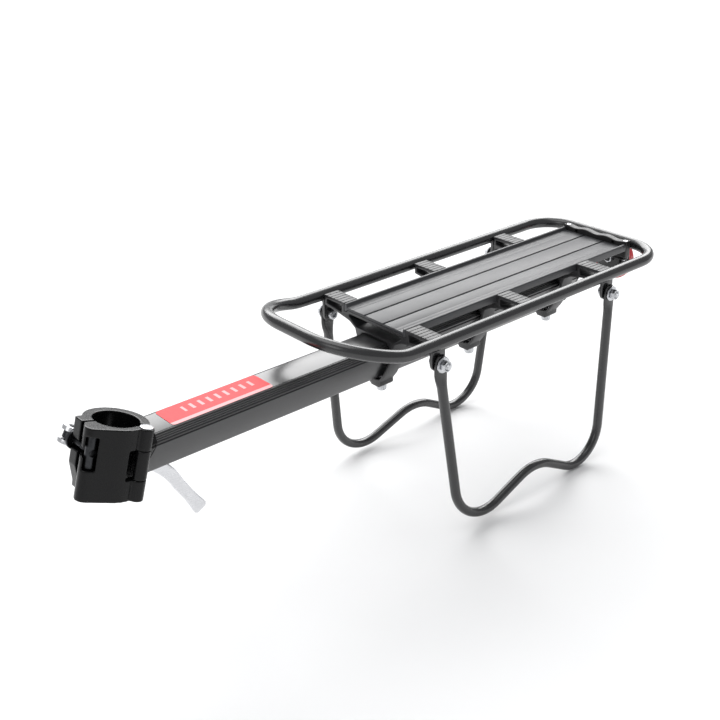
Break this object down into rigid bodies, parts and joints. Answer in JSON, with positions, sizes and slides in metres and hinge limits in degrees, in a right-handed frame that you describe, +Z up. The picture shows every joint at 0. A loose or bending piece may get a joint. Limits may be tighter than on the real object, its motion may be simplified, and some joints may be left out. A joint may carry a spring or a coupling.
{
  "type": "rear rack",
  "caption": "Cantilever bicycle rear rack: quick-release seatpost clamp, hull-shaped beam, sliding grooved deck in a tube loop, bent side guards and a rear reflector.",
  "frame": {"origin": "middle of the seatpost bore, at half the height of the collar", "axes": "+X runs back along the bicycle, +Y is the side of the quick-release lever, +Z is up; the seatpost leans 17 degrees back at the top"},
  "size_m": [0.5868, 0.161, 0.1929],
  "materials": {
    "cast_clamp": "black painted casting, satin",
    "black_anodised": "black anodised, satin gloss",
    "deck_anodised": "grey-black anodised, fine brushed",
    "sticker": "printed vinyl, satin",
    "black_plastic": "moulded, fine grain",
    "painted_strip": "black painted steel",
    "red_lens": "clear red prismatic plastic",
    "polished_lever": "polished",
    "zinc_steel": "bright zinc plated"
  },
  "bodies": {
    "beam_assembly": {"beam": "black_anodised", "beam_end_cap": "black_plastic", "beam_label": "sticker", "beam_pin_front": "zinc_steel", "beam_pin_rear": "zinc_steel", "clamp_body": "cast_clamp", "hinge_pin": "zinc_steel"},
    "clamp_jaw": {"clamp_jaw": "cast_clamp"},
    "swing_bolt": {"cam_pin": "zinc_steel", "cam_washer": "zinc_steel", "swing_bolt": "zinc_steel", "trunnion_pin": "zinc_steel"},
    "lever": {"qr_lever": "polished_lever"},
    "carriage": {"clamp_screw_front": "zinc_steel", "clamp_screw_middle": "zinc_steel", "clamp_screw_rear": "zinc_steel", "crossbar_front": "black_anodised", "crossbar_middle": "black_anodised", "crossbar_rear": "black_anodised", "deck_end_piece": "black_plastic", "deck_panel": "deck_anodised", "deck_rivet_front_left": "zinc_steel", "deck_rivet_front_right": "zinc_steel", "deck_rivet_middle_left": "zinc_steel", "deck_rivet_middle_right": "zinc_steel", "deck_rivet_rear_left": "zinc_steel", "deck_rivet_rear_right": "zinc_steel", "end_piece_screw_left": "zinc_steel", "end_piece_screw_right": "zinc_steel", "frame_loop": "black_anodised", "guard_bolt_front_left": "zinc_steel", "guard_bolt_front_right": "zinc_steel", "guard_bolt_rear_left": "zinc_steel", "guard_bolt_rear_right": "zinc_steel", "guard_left": "black_anodised", "guard_nut_front_left": "zinc_steel", "guard_nut_front_right": "zinc_steel", "guard_nut_rear_left": "zinc_steel", "guard_nut_rear_right": "zinc_steel", "guard_right": "black_anodised", "guard_washer_front_left": "zinc_steel", "guard_washer_front_right": "zinc_steel", "guard_washer_rear_left": "zinc_steel", "guard_washer_rear_right": "zinc_steel", "reflector_bracket": "painted_strip", "reflector_housing": "black_plastic", "reflector_lens": "red_lens", "reflector_nut": "zinc_steel", "tube_screw_front_left": "zinc_steel", "tube_screw_front_right": "zinc_steel", "tube_screw_middle_left": "zinc_steel", "tube_screw_middle_right": "zinc_steel", "tube_screw_rear_left": "zinc_steel", "tube_screw_rear_right": "zinc_steel"}
  },
  "joints": [
    {"name": "jaw_hinge", "type": "hinge", "parent": "beam_assembly", "child": "clamp_jaw", "pos_m": [0.01195, -0.0185, -0.00365], "axis": [0.2924, 0, 0.9563], "range_deg": [-1.2, 0]},
    {"name": "bolt_swing", "type": "hinge", "parent": "clamp_jaw", "child": "swing_bolt", "pos_m": [-0.01774, -0.009, 0.01379], "axis": [0.2924, 0, 0.9563], "range_deg": [0, 80]},
    {"name": "lever_cam", "type": "hinge", "parent": "swing_bolt", "child": "lever", "pos_m": [-0.01774, 0.0205, 0.01379], "axis": [0.5446, 0, 0.8387], "range_deg": [0, 150]},
    {"name": "rack_slide", "type": "slide", "parent": "beam_assembly", "child": "carriage", "axis": [1, 0, 0], "range_m": [-0.053, 0.008]}
  ]
}
